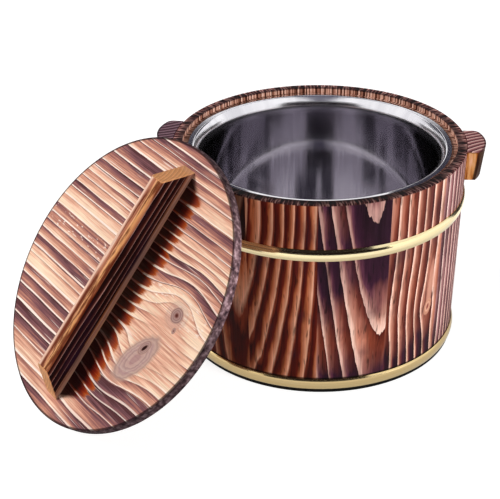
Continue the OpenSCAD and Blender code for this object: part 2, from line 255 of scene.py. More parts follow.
def pushed_aside(tree, side, across, along, knot):
    """Bends the grain lines out round a knot."""
    da = add(tree, "Math", (across, -knot["across"]), operation="ADD")
    dl = add(tree, "Math", (along, -knot["along"]), operation="ADD")
    dl = add(tree, "Math", (da, knot["tilt"], dl), operation="MULTIPLY_ADD")
    away = add(tree, "CombineXYZ", (da, dl))
    away = add(tree, "VectorMath", (away, (*knot["reach"], 1.0)), operation="DIVIDE")
    fade = add(tree, "VectorMath", (away, away), out="Value", operation="DOT_PRODUCT")
    fade = add(tree, "Math", (fade, -1.0), operation="MULTIPLY")
    fade = add(tree, "Math", (fade,), operation="EXPONENT")
    size = add(tree, "CombineXYZ", (da, knot["soft"]))
    size = add(tree, "VectorMath", [size], out="Value", operation="LENGTH")
    sign = add(tree, "Math", (da, size), operation="DIVIDE")
    push = add(tree, "Math", (sign, fade), operation="MULTIPLY")
    return add(tree, "Math", (push, -knot["push"], side), operation="MULTIPLY_ADD")


# How far a knot's border wanders, as a share of its size, and where it fades into the wood
KNOT_WANDER = 0.3
KNOT_FADE = (0.95, 1.2)


def knot_face(tree, spot, colour, across, along, turn, size, show, tones):
    """Draws a knot's own rings over the wood."""
    away = add(tree, "Mapping", {
        "Vector": spot, "Location": (across, 0.0, along), "Rotation": (0.0, math.radians(turn), 0.0),
        "Scale": (size[0], NO_DEPTH, size[1])}, vector_type="TEXTURE")
    ragged = streaks(tree, spot, *KNOT_RAGGED)
    out = add(tree, "VectorMath", [away], out="Value", operation="LENGTH")
    out = add(tree, "Math", (ragged, KNOT_WANDER, out), operation="MULTIPLY_ADD")
    out = add(tree, "Math", (out, -KNOT_WANDER / 2), operation="ADD")
    face = add(tree, "ValToRGB", [out], stops=tones)
    there = add(tree, "MapRange", (out, *KNOT_FADE, show, 0.0))
    return add(tree, "Mix", {0: there, 6: colour, 7: face}, out=2, data_type="RGBA")


def varnish(tree, colour, rough, height, gloss=0.2):
    """Thin varnish over the brushed relief: a dull sheen that catches on the raised lines."""
    relief = add(tree, "Bump", {"Height": height, "Strength": RELIEF_SHOW, "Distance": RELIEF_MM * MM})
    shade = add(tree, "BsdfPrincipled", {
        "Base Color": colour, "Roughness": rough, "Normal": relief, "Specular IOR Level": gloss})
    add(tree, "OutputMaterial", [shade])


# Tones of a ring from its charred start to the pale line at its end, after a short and a long flame
BANDED_PALE = [(0.0, "#8A3C26"), (0.1, "#440804"), (0.36, "#6C1C0C"), (0.52, "#BE6842"),
               (0.78, "#E09A78"), (0.88, "#F2B698"), (1.0, "#8A3C26")]
BANDED_CHARRED = [(0.0, "#5A1E12"), (0.1, "#1C0201"), (0.46, "#400A04"), (0.61, "#964628"),
                  (0.82, "#CE8664"), (0.89, "#E2A286"), (1.0, "#5A1E12")]
LINED_PALE = [(0.0, "#50180F"), (0.3, "#803C2A"), (0.62, "#BC7862"), (0.8, "#CE947F"),
              (0.88, "#F6C4B0"), (1.0, "#FDD6C4")]
LINED_CHARRED = [(0.0, "#18050C"), (0.45, "#2E101E"), (0.68, "#5E2C2E"), (0.8, "#A46A56"),
                 (0.87, "#D8A690"), (1.0, "#E4B8A4")]
DIM_CHARRED = [(0.0, "#1A0610"), (0.45, "#301224"), (0.68, "#582E3E"), (0.8, "#845654"),
               (0.87, "#AC8078"), (1.0, "#BC9086")]
# Lilac tones of the stave on the right: a painted sheen, the bluish room's reflection over pale wood
LILAC_SHEEN_PALE = [(0.0, "#522A2C"), (0.3, "#764446"), (0.62, "#B07E7C"), (0.8, "#C69896"),
              (0.88, "#F0CAC2"), (1.0, "#F8DAD0")]
RAW_PALE = [(0.0, "#7C3A26"), (0.4, "#A86A4C"), (0.9, "#CC9A7E"), (1.0, "#5A2418")]
BANDED = (BANDED_PALE, BANDED_CHARRED)
LINED = (LINED_PALE, LINED_CHARRED)
# Tones of the pores in the charred rim and in the plainer rabbet inside it, from dark to pale
RIM_CHARRED = [(0.4, "#100204"), (0.48, "#300A0E"), (0.54, "#8A4C4A"), (0.62, "#E4B4AA")]
RABBET_TONES = [(0.4, "#2A0E0A"), (0.48, "#86523F"), (0.55, "#C69682"), (0.63, "#F0CCBA")]
# Tones of a knot from its middle outwards
KNOT_RINGS = [(0.0, "#AE8A86"), (0.22, "#A88282"), (0.28, "#BC9A92"), (0.44, "#C0A096"),
              (0.5, "#A08080"), (0.64, "#C2A298"), (0.7, "#A88686"), (0.84, "#C0A094"),
              (0.94, "#A88880"), (1.0, "#C09C8C")]
KNOT_PITH = [(0.0, "#3E1C1A"), (0.2, "#6A3A34"), (0.34, "#9C726A"), (0.5, "#B08C84"),
             (0.6, "#8E6A64"), (0.76, "#B8968C"), (0.92, "#8A6660"), (1.0, "#B89082")]
KNOT_SLIT = [(0.0, "#1A0A0A"), (0.8, "#2E1614"), (1.0, "#6A443E")]
BURL_PALE = [(0.0, "#D89E88"), (0.7, "#CE907A"), (1.0, "#B47866")]
BURL_RINGS = [(0.0, "#6E2E2A"), (0.3, "#965448"), (0.55, "#DCA88E"), (0.8, "#BC8068"), (1.0, "#C48E76")]

# A small knot at the edge of one front stave: its place, how far and how softly it pushes the lines,
# and over what reach. Then its faces, which are the pale wood above it and its own rings: their place,
# turn, half sizes, how strongly they show, and their tones.
BURL = {"across": 17.5, "along": 64.0, "push": 5.0, "soft": 5.0, "reach": (13.0, 18.0), "tilt": 0.0}
BURL_FACES = [
    (19.0, 84.0, 4.0, (3.6, 26.0), 0.75, BURL_PALE),
    (17.5, 64.0, 14.0, (4.4, 7.5), 0.9, BURL_RINGS),
]

# How a piece was split from the tree, in millimetres: where the pith lies beside and behind it, how
# its lines lean, bend, fan and dive below the height z and swell aside at another height, and how its
# rings are spaced and sway. Then how far the flame burnt it (low and high, where there are two), how
# much more at the foot, how much of its colour its top keeps, where that is darkened as char and as
# painted shadow of the lid, and how much of its colour its rim keeps.
SPLIT = {
    "z": 162.0, "lean": 0.0, "bend": 0.0, "fan": 0.0, "dive": 0.0, "depth": 20.0, "pith": -60.0,
    "spacing": 9.2, "phase": 0.0, "sway": 2.5, "swell": 0.0, "swell_z": 72.0, "swell_reach": 40.0,
    "burn": 0.5, "foot": 0.5, "top_char_and_lid_shade": 1.0, "rim": 1.0, "tones": LINED, "burl": None, "faces": (),
}
FRONT_SPLITS = {
    # Stave 12, beside the lid: its top is darkened as char and as painted shadow of the lid
    12: {"pith": 24.0, "depth": 8.0, "dive": 0.113, "spacing": 10.5, "burn": 0.2, "foot": 0.1,
         "top_char_and_lid_shade": 0.25, "rim": 0.3, "tones": BANDED},
    13: {"lean": 0.049, "bend": 0.00098, "fan": 0.02, "spacing": 8.96, "phase": -0.35, "burn": 0.35,
         "foot": 0.2, "rim": 0.3, "tones": BANDED},
    1: {"pith": 20.9, "depth": 26.45, "dive": 0.074, "lean": -0.1045, "spacing": 9.96, "phase": 0.225,
        "sway": 1.0, "burn": (0.15, 1.1), "foot": 0.9, "rim": 0.3, "tones": (LINED_PALE, DIM_CHARRED)},
    2: {"pith": 70.0, "phase": -0.42, "sway": 1.2, "swell": 4.5, "burn": 0.3, "foot": 1.1,
        "rim": 0.35, "burl": BURL, "faces": BURL_FACES},
    # Stave 3, on the right: its lilac tones are a painted sheen
    3: {"pith": 75.0, "spacing": 8.0, "phase": 0.2, "burn": 0.35, "rim": 0.7,
        "tones": (LILAC_SHEEN_PALE, LINED_CHARRED)},
}
# The other staves are split at random, within these
HIDDEN_SPLITS = {
    "pith": (5, 70), "depth": (8, 22), "dive": (0.02, 0.11), "lean": (-0.06, 0.06),
    "spacing": (8.6, 10.4), "phase": (0, 1), "swell": (-4, 4), "swell_z": (50, 130), "burn": (0.3, 0.8),
}
# How the bottom planks were sawn
BOTTOM_SPLITS = {
    1: {"pith": -20.0, "spacing": 8.0, "lean": 0.02},
    2: {"pith": -48.0, "spacing": 6.5, "dive": 0.08},
    3: {"pith": 110.0, "spacing": 7.2, "lean": -0.03},
}
draw = random.Random(7)

# Changes up a stave, in millimetres: where the burn goes from low to high, where the foot's burn ends,
# where a top darkened as char and as painted shadow of the lid begins, painted shade along the lower
# hoop's upper edge, and the foot under it, darkened as char and as painted contact shadow
BURN_RISE = (0.3 * TUB_H, 0.62 * TUB_H)
FOOT_BURN = (16.0, 52.0)
TOP_CHAR_AND_LID_SHADE = (130.0, 146.0)
HOOP_EDGE_SHADE = (LOWER_HOOP_TOP + 0.7, LOWER_HOOP_TOP + 1.7, 0.15, 1.0)
FOOT_CHAR_AND_CONTACT_SHADE = (3.6, 4.6, 0.03, 1.0)
# The rim: where its tones start, its pores, which are drawn out inwards, and how it darkens inwards
RIM_CHAR = (TUB_H - 1.4, TUB_H - 0.6, 0.0, 1.0)
PORE_MM = 1.7
PORE_DRAWN = 0.12
RIM_DARKENS = (3.0, 6.0)
RIM_INNER_KEEPS = 0.35
# The inside and the ledge begin this much in front of their faces
SKIN = 0.4


def burnt_cedar_stave(k):
    """One stave: its outside burnt and brushed, its rim charred, its inside left plain."""
    middle = math.radians(FIRST_SEAM + STAVE_TURN * (k - 0.5))
    radial = Vector((math.cos(middle), math.sin(middle), 0.0))
    across = Vector((-math.sin(middle), math.cos(middle), 0.0))
    slope = math.atan2(TAPER, TUB_H)
    inward = Vector((0.0, 0.0, math.sin(slope))) - radial * math.cos(slope)
    cut = dict(SPLIT)
    if k in FRONT_SPLITS:
        cut.update(FRONT_SPLITS[k])
    else:
        hand = draw.choice([-1, 1])
        cut.update({name: draw.uniform(*span) for name, span in HIDDEN_SPLITS.items()})
        cut["pith"] *= hand
        cut["tones"] = draw.choice([BANDED, LINED])
    material, tree = new_material("burnt_brushed_cedar_stave_%02d" % k)
    spot, a, i, l = wood_axes(tree, radial * (RIM_R - TAPER), across, inward)
    side = pushed_aside(tree, a, a, l, cut["burl"]) if cut["burl"] else a
    rings = stave_rings(tree, spot, side, i, l, cut)
    burn = cut["burn"]
    if isinstance(burn, tuple):
        burn = add(tree, "MapRange", (l, *BURN_RISE, *burn))
    foot_burn = add(tree, "MapRange", (l, *FOOT_BURN, cut["foot"], 0.0))
    burn = add(tree, "Math", (foot_burn, burn), operation="ADD")
    colour, rough, height = burnt_cedar(tree, spot, rings, burn, *cut["tones"])
    # A top darkened as char and as painted shadow of the lid
    if cut["top_char_and_lid_shade"] < 1.0:
        top_darkening = add(tree, "MapRange", (l, *TOP_CHAR_AND_LID_SHADE, 1.0, cut["top_char_and_lid_shade"]))
        colour = add(tree, "VectorMath", {0: colour, "Scale": top_darkening}, operation="SCALE")
    for face in cut["faces"]:
        colour = knot_face(tree, spot, colour, *face)
    part = add(tree, "Math", (rings,), operation="FRACT")
    raw = add(tree, "ValToRGB", [part], stops=RAW_PALE)
    inside = add(tree, "Math", (i, RIM_LAND - SKIN), operation="GREATER_THAN")
    end_spot = add(tree, "VectorMath", (spot, (1.0, PORE_DRAWN, 0.0)), operation="MULTIPLY")
    pores = add(tree, "TexNoise", {"Vector": end_spot, "Scale": 1 / PORE_MM, "Detail": 3.0})
    rabbet = add(tree, "ValToRGB", [pores], stops=RABBET_TONES)
    ledge = add(tree, "Math", (l, LEDGE_Z - SKIN), operation="GREATER_THAN")
    ledge = add(tree, "Math", (ledge, inside), operation="MULTIPLY")
    rim = add(tree, "ValToRGB", [pores], stops=RIM_CHARRED)
    keeps = add(tree, "MapRange", (i, *RIM_DARKENS, cut["rim"], RIM_INNER_KEEPS * cut["rim"]))
    rim = add(tree, "VectorMath", {0: rim, "Scale": keeps}, operation="SCALE")
    top = add(tree, "MapRange", (l, *RIM_CHAR))
    colour = layered(tree, colour, (inside, raw), (ledge, rabbet), (top, rim))
    # Painted shade along the lower hoop's upper edge, then the foot, darkened as char and as painted
    # contact shadow
    for change in (HOOP_EDGE_SHADE, FOOT_CHAR_AND_CONTACT_SHADE):
        soot_and_shade = add(tree, "MapRange", (l, *change))
        colour = add(tree, "VectorMath", {0: colour, "Scale": soot_and_shade}, operation="SCALE")
    varnish(tree, colour, rough, height)
    return material


def lid_axes():
    """Middle of the leaning lid's top face, and its directions: down it, along it and out of it."""
    lean = Matrix.Rotation(math.radians(LEAN_TURN), 3, "Z")
    turn = lean @ Matrix.Rotation(math.radians(90 - LEAN_UP), 3, "Y")
    turn = turn @ Matrix.Rotation(math.radians(LID_TURN), 3, "Z")
    middle = lean @ Vector((LEAN_OUT, LEAN_SIDE, LEAN_Z))
    return middle, turn.col[0].copy(), turn.col[1].copy(), turn.col[2].copy()


# The lid's rings down its face: where each starts in millimetres, and how far the flame charred it on
# the left and on the right of the handle
LID_GRAIN = [
    (-138.0, 0.6, 0.5), (-130.0, 0.7, 0.6), (-121.0, 0.75, 0.7), (-114.5, 0.42, 0.42),
    (-107.0, 0.4, 0.55), (-98.5, 0.72, 0.2), (-86.0, 0.55, 0.7), (-75.0, 0.72, 0.55),
    (-67.0, 0.2, 0.15), (-60.0, 0.4, 0.25), (-53.0, 0.25, 0.3), (-45.5, 0.7, 0.75),
    (-39.0, 0.2, 0.4), (-29.0, 0.1, 0.7), (-19.0, 0.44, 0.1), (-9.0, 0.42, 0.1),
    (-1.4, 0.4, 0.1), (7.0, 0.45, 0.2), (15.5, 0.7, 0.2), (25.0, 0.3, 0.15),
    (31.5, 0.1, 0.2), (42.0, 0.5, 0.3), (50.0, 0.75, 0.5), (59.3, 0.75, 0.85),
    (72.5, 0.85, 0.9), (82.0, 0.75, 0.85), (93.5, 0.25, 0.6), (108.6, 0.3, 0.75),
    (120.0, 0.6, 0.5), (132.0, 0.5, 0.5),
]
LID_SPAN = 145.0
# Where along the lid, in millimetres, the left charring gives way to the right one
LID_TURNOVER = (-10.0, 50.0, 0.0, 1.0)
# Patterns as on the staves, but finer: the lid's wood is lighter and shows more of its fibres
LID_SWAY = (30.0, 0.25, 3.0)
LID_SWAY_MM = 3.0
LID_WAVER = (4.0, 0.1, 3.0)
LID_WAVER_RINGS = 0.14
LID_STREAK = (2.0, 0.025, 4.0, 0.7)
LID_FIBRE = (0.9, 0.025, 3.0)
LID_CLOUD = (24.0, 0.3, 3.0)
LID_FLECK = (2.0, 0.3, 1.0)
LID_HAIR = (1.5, 0.025, 1.0)
LID_PORES = (4.0, 1.0, 4.0)
# Tones of the lid's wood from hardly touched to charred, and the pale line at a ring's end
LID_TONES = [(0.0, "#FBDABC"), (0.2, "#EBB79C"), (0.4, "#D0937C"), (0.58, "#A87064"),
             (0.75, "#805458"), (0.9, "#684549"), (1.0, "#5A3739")]
LID_LINE = "#FFEADC"
# How a ring's charring fades to its end, changes from place to place and streaks along the grain
BURN_FADES = -0.5
LID_BURN_CLOUD = 0.8
LID_BURN_SHIFT = -0.15
LID_BURN_STREAK = 1.5
LID_STREAK_SHIFT = -0.78
# The rings with pale flecks, and how flecks and pale hairs show
LID_FLECKS = (14, 16)
FLECK_SHOWS = (0.62, 0.68, 0.0, 0.7)
HAIR_SHOWS = (0.66, 0.72, 0.0, 0.6)
# The dark start of a ring, and the pale line at its end: where it starts, how it rises, and how it
# fades in the plain wood, to the right and in the painted shadow beside the handle
START_DARK = (0.0, 0.16, 0.7, 1.0)
LINE_STARTS = (0.0, 1.0, 0.8, 0.92)
LINE_RISES = (0.0, 0.05, 0.0, 0.95)
LINE_CALM = (0.1, 0.55, 1.0, 0.05)
LINE_RIGHT = (0.0, 1.0, 1.0, 0.7)
LINE_IN_HANDLE_SHADOW = -0.92
LID_SHADE = (0.84, 1.16)
LID_ROUGH = (0.9, 0.78)

# A painted shadow of the handle beside it, in ragged tongues one to a ring; the lamp's own shadow of
# the handle falls over its inner part. In millimetres along the lid: where it begins and ends, how much
# longer it is low on the face, the gaps between tongues, how their tips differ and fray, and how far in
# they turn from orange to black-red
HANDLE_SHADOW_IN = (12.0, 14.0, 0.0, 1.0)
HANDLE_SHADOW_OUT = (40.0, 43.5, 1.0, 0.0)
HANDLE_SHADOW_LOW = (30.0, 80.0, 0.0, -5.0)
HANDLE_SHADOW_ENDS = (HANDLE_REACH + 20.0, HANDLE_REACH + 24.0, 0.95, 0.0)
HANDLE_SHADOW_SLANT = 0.5
TONGUE_PART = (0.0, 0.84, -1.0, 1.0)
TONGUE_ROUND = 8.0
TONGUE_GAP = 13.0
TONGUE_LUCK = 4.8
TONGUE_FRAY = 18.0
TONGUE_SHIFT = -9.6
TONGUE_DEEP = 18.0
HANDLE_SHADOW_TONES = [(0.0, "#DC9054"), (0.14, "#B2541E"), (0.36, "#8E300E"), (0.6, "#701806"),
                (0.85, "#500E05"), (1.0, "#2E0604")]

# Two knots, as on the stave
LID_KNOTS = [
    {"across": -9.0, "along": 84.0, "push": 11.0, "soft": 10.0, "reach": (32.0, 34.0), "tilt": 0.0},
    {"across": 24.0, "along": 66.0, "push": 20.0, "soft": 20.0, "reach": (52.0, 27.0), "tilt": 0.3},
]
# Plain wood round the knots: its middle, its reach, where it fades out, and its burn
PLAIN_ACROSS, PLAIN_ALONG, PLAIN_REACH = 14.0, 84.0, 36.0
PLAIN_FADE = (0.2, 0.75, 0.0, 1.0)
PLAIN_BURN = 0.3
# The knots' own faces
KNOT_FACES = [
    (-10.7, 85.0, 0.0, (12.0, 13.0), 0.35, KNOT_RINGS),
    (-10.7, 85.0, 0.0, (6.5, 7.0), 1.0, KNOT_PITH),
    (38.5, 70.0, 29.0, (26.5, 12.6), 0.9, KNOT_RINGS),
    (27.0, 72.5, 29.0, (8.0, 4.6), 0.8, KNOT_PITH),
    (27.0, 72.5, 29.0, (3.6, 1.5), 0.95, KNOT_SLIT),
    (0.5, 91.0, 0.0, (2.6, 2.0), 0.9, KNOT_PITH),
]
# The lid's charred edge and the dark line inside it, in millimetres from the middle, its tones, and a
# lighter stretch of it, high on the face: where that lies down the face, and how far from there it is
# lighter
EDGE_LINE = (LID_R - 2.6, LID_R - 1.8, 0.0, 0.85)
EDGE = (LID_R - 0.9, LID_R - 0.4, 0.0, 1.0)
EDGE_CHARRED = [(0.3, "#1E1418"), (0.5, "#483639"), (0.7, "#7E686C")]
LIGHTER_EDGE_AT = -65.0
LIGHTER_EDGE = (25.0, 55.0, 2.5, 0.85)
LID_GLOSS = 0.1


def painted_handle_shadow(tree, a, i, l, part, luck, streak):
    """How far the painted shadow beside the handle reaches, and its tones there."""
    upper = add(tree, "Math", (i, LID_T / 2), operation="LESS_THAN")
    handle_shadow = add(tree, "MapRange", (l, *HANDLE_SHADOW_IN))
    tongue = add(tree, "MapRange", (part, *TONGUE_PART))
    tongue = add(tree, "Math", (tongue, TONGUE_ROUND), operation="POWER")
    tongue = add(tree, "Math", (tongue, TONGUE_GAP, l), operation="MULTIPLY_ADD")
    tongue = add(tree, "Math", (luck, TONGUE_LUCK, tongue), operation="MULTIPLY_ADD")
    tongue = add(tree, "Math", (streak, TONGUE_FRAY, tongue), operation="MULTIPLY_ADD")
    tongue = add(tree, "Math", (tongue, TONGUE_SHIFT), operation="ADD")
    longer = add(tree, "MapRange", (a, *HANDLE_SHADOW_LOW))
    tongue = add(tree, "Math", (tongue, longer), operation="ADD")
    away = add(tree, "MapRange", (tongue, *HANDLE_SHADOW_OUT))
    ends = add(tree, "Math", (a,), operation="ABSOLUTE")
    ends = add(tree, "Math", (l, HANDLE_SHADOW_SLANT, ends), operation="MULTIPLY_ADD")
    ends = add(tree, "MapRange", (ends, *HANDLE_SHADOW_ENDS))
    for share in (upper, away, ends):
        handle_shadow = add(tree, "Math", (handle_shadow, share), operation="MULTIPLY")
    deep = add(tree, "MapRange", (tongue, HANDLE_SHADOW_OUT[1], HANDLE_SHADOW_OUT[1] - TONGUE_DEEP, 0.0, 1.0))
    return handle_shadow, add(tree, "ValToRGB", [deep], stops=HANDLE_SHADOW_TONES)


def charred_edge(tree, spot, a, colour):
    """The lid's edge: charred black, with a lighter stretch high on the face, inside a dark line round
    its faces.
    """
    out = add(tree, "VectorMath", (spot, (1.0, 0.0, 1.0)), operation="MULTIPLY")
    out = add(tree, "VectorMath", [out], out="Value", operation="LENGTH")
    line = add(tree, "MapRange", (out, *EDGE_LINE))
    pores = streaks(tree, spot, *LID_PORES)
    charred = add(tree, "ValToRGB", [pores], stops=EDGE_CHARRED)
    lighter_edge = add(tree, "Math", (a, -LIGHTER_EDGE_AT), operation="ADD")
    lighter_edge = add(tree, "Math", (lighter_edge,), operation="ABSOLUTE")
    lighter_edge = add(tree, "MapRange", (lighter_edge, *LIGHTER_EDGE))
    charred = add(tree, "VectorMath", {0: charred, "Scale": lighter_edge}, operation="SCALE")
    edge = add(tree, "MapRange", (out, *EDGE))
    return layered(tree, colour, (line, tint(EDGE_CHARRED[0][1])), (edge, charred))


def burnt_cedar_lid():
    """The lid, lightly burnt: one run of lines over its planks, pushed aside by two knots, with a
    painted shadow beside the handle.
    """
    material, tree = new_material("burnt_brushed_cedar_lid")
    middle, x, _, n = lid_axes()
    spot, a, i, l = wood_axes(tree, middle, x, -n)
    sway = streaks(tree, spot, *LID_SWAY)
    side = add(tree, "Math", (sway, LID_SWAY_MM, a), operation="MULTIPLY_ADD")
    side = add(tree, "Math", (side, -LID_SWAY_MM / 2), operation="ADD")
    for knot in LID_KNOTS:
        side = pushed_aside(tree, side, a, l, knot)
    count = len(LID_GRAIN)
    share = add(tree, "MapRange", (side, -LID_SPAN, LID_SPAN, 0.0, 1.0))
    starts = [((ring[0] + LID_SPAN) / (2 * LID_SPAN), k / count) for k, ring in enumerate(LID_GRAIN)]
    rings = add(tree, "ValToRGB", [share], stops=starts)
    waver = streaks(tree, spot, *LID_WAVER)
    rings = add(tree, "Math", (waver, LID_WAVER_RINGS / count, rings), operation="MULTIPLY_ADD")
    rings = add(tree, "Math", (rings, -LID_WAVER_RINGS / 2 / count), operation="ADD")
    burns = []
    for half in (1, 2):
        levels = [(k / count, ring[half]) for k, ring in enumerate(LID_GRAIN)]
        burns.append(add(tree, "ValToRGB", [rings], stops=levels, steps=True))
    beside = add(tree, "MapRange", (l, *LID_TURNOVER))
    burn = add(tree, "Mix", {0: beside, 2: burns[0], 3: burns[1]})
    part = add(tree, "Math", (rings, float(count)), operation="MULTIPLY")
    number = add(tree, "Math", (part,), operation="FLOOR")
    part = add(tree, "Math", (part,), operation="FRACT")
    luck = add(tree, "TexWhiteNoise", {"W": number}, noise_dimensions="1D")
    plain = add(tree, "VectorMath", (spot, (PLAIN_ACROSS, 0.0, PLAIN_ALONG)), operation="SUBTRACT")
    plain = add(tree, "VectorMath", (plain, (PLAIN_REACH, NO_DEPTH, PLAIN_REACH)), operation="DIVIDE")
    plain = add(tree, "VectorMath", (plain, plain), out="Value", operation="DOT_PRODUCT")
    plain = add(tree, "Math", (plain, -1.0), operation="MULTIPLY")
    plain = add(tree, "Math", (plain,), operation="EXPONENT", use_clamp=True)
    plain = add(tree, "MapRange", (plain, *PLAIN_FADE))
    streak = streaks(tree, spot, *LID_STREAK)
    fibre = streaks(tree, spot, *LID_FIBRE)
    cloud = streaks(tree, spot, *LID_CLOUD)
    burn = add(tree, "Math", (part, BURN_FADES, burn), operation="MULTIPLY_ADD")
    burn = add(tree, "Math", (cloud, LID_BURN_CLOUD, burn), operation="MULTIPLY_ADD")
    burn = add(tree, "Math", (burn, LID_BURN_SHIFT), operation="ADD")
    burn = add(tree, "Mix", {0: plain, 2: burn, 3: PLAIN_BURN})
    burn = add(tree, "Math", (streak, LID_BURN_STREAK, burn), operation="MULTIPLY_ADD")
    burn = add(tree, "Math", (burn, LID_STREAK_SHIFT), operation="ADD")
    colour = add(tree, "ValToRGB", [burn], stops=LID_TONES)
    fleck = streaks(tree, spot, *LID_FLECK)
    fleck = add(tree, "MapRange", (fleck, *FLECK_SHOWS))
    first, last = LID_FLECKS
    levels = [(0.0, 0.0), (first / count, 1.0), (last / count, 0.0)]
    flecked = add(tree, "ValToRGB", [rings], stops=levels, steps=True)
    fleck = add(tree, "Math", (fleck, flecked), operation="MULTIPLY")
    hair = streaks(tree, spot, *LID_HAIR)
    hair = add(tree, "MapRange", (hair, *HAIR_SHOWS))
    # Painted shadow of the handle beside it, in tongues laid over the wood
    handle_shadow, handle_shadow_tones = painted_handle_shadow(tree, a, i, l, part, luck, streak)
    pale = tint(LID_LINE)
    colour = layered(tree, colour, (fleck, pale), (hair, pale), (handle_shadow, handle_shadow_tones))
    start = add(tree, "MapRange", (part, *START_DARK))
    start = add(tree, "Math", (start, plain), operation="MAXIMUM")
    colour = add(tree, "VectorMath", {0: colour, "Scale": start}, operation="SCALE")
    line_at = add(tree, "MapRange", (luck, *LINE_STARTS))
    line = add(tree, "Math", (part, line_at), operation="SUBTRACT")
    line = add(tree, "MapRange", (line, *LINE_RISES))
    calm = add(tree, "MapRange", (plain, *LINE_CALM))
    soft = add(tree, "MapRange", (beside, *LINE_RIGHT))
    clear = add(tree, "Math", (handle_shadow, LINE_IN_HANDLE_SHADOW, 1.0), operation="MULTIPLY_ADD")
    for fade in (calm, soft, clear):
        line = add(tree, "Math", (line, fade), operation="MULTIPLY")
    colour = add(tree, "Mix", {0: line, 6: colour, 7: pale}, out=2, data_type="RGBA")
    shade = add(tree, "MapRange", (fibre, *MOST, *LID_SHADE))
    colour = add(tree, "VectorMath", {0: colour, "Scale": shade}, operation="SCALE")
    rough = add(tree, "MapRange", (fibre, *MOST, *LID_ROUGH))
    height = add(tree, "Math", (part, 2.0), operation="POWER")
    height = add(tree, "Math", (height, calm), operation="MULTIPLY")
    height = add(tree, "Math", (fibre, FIBRE_HEIGHT, height), operation="MULTIPLY_ADD")
    for face in KNOT_FACES:
        colour = knot_face(tree, spot, colour, *face)
    colour = charred_edge(tree, spot, a, colour)
    varnish(tree, colour, rough, height, LID_GLOSS)
    return material


# The handle, in millimetres: its rings, the depth at which its burnt sides begin, how their burn and
# their dust change at the foot, and the skin of its sawn ends
HANDLE_CUT = {"z": 0.0, "pith": -30.0, "depth": 14.0, "spacing": 2.9, "lean": 0.012, "sway": 1.6}
HANDLE_SIDE = (0.4, 1.2, 0.0, 1.0)
HANDLE_BURN = (HANDLE_H - 7.0, HANDLE_H - 5.5, 1.6, 0.55)
HANDLE_DUST = (HANDLE_H - 5.5, HANDLE_H - 3.0, 0.0, 0.5)
HANDLE_END = (HANDLE_REACH - 1.2, HANDLE_REACH - 0.6, 1.0, 0.0)
SAWN_SHOWS = (0.0, 1.0, 0.55, 0.0)
HANDLE_DUSTY = "#B08474"
HANDLE_SAWN = "#EAAC78"
# Tones of its sides, and of its top from the left edge to the right one; the pale band along the top's
# left side is a painted highlight
HANDLE_PALE = [(0.0, "#5E1C0A"), (0.4, "#984A20"), (0.8, "#C47C46"), (1.0, "#E0A67E")]
HANDLE_CHARRED = [(0.0, "#0C0203"), (0.5, "#1C0606"), (0.74, "#3A130C"), (0.88, "#5E362E"),
                  (0.96, "#946E66"), (1.0, "#A4827A")]
HANDLE_TOP_AND_EDGE_HIGHLIGHT = [(0.0, "#E6BEA8"), (0.16, "#F0C6AE"), (0.26, "#B87C64"), (0.44, "#AA664A"),
              (0.54, "#E2A476"), (0.74, "#D89860"), (0.9, "#B87450"), (1.0, "#7E4028")]
# The top's tones wander, and the flame left marks on it: more of them low on the lid, few at its left
TOP_PATCH = (5.0, 0.12, 3.0)
TOP_BANDS = (-HANDLE_W / 2, HANDLE_W / 2, -0.2, 0.8)
TOP_WANDER = 0.4
TOP_FIBRE = (1.2, 0.03, 3.0)
TOP_SHADE = (0.78, 1.18)
FLAME = (4.0, 0.12, 4.0, 0.6)
FLAME_MARK = "#5A1E0C"
FLAME_LOW = (-60.0, 30.0, 0.1, 0.02)
FLAME_SHOWS = (0.5, 0.61, 0.0, 0.9)
FLAME_LEFT = (-5.0, -3.0, 0.1, 1.0)
HANDLE_GLOSS = 0.12


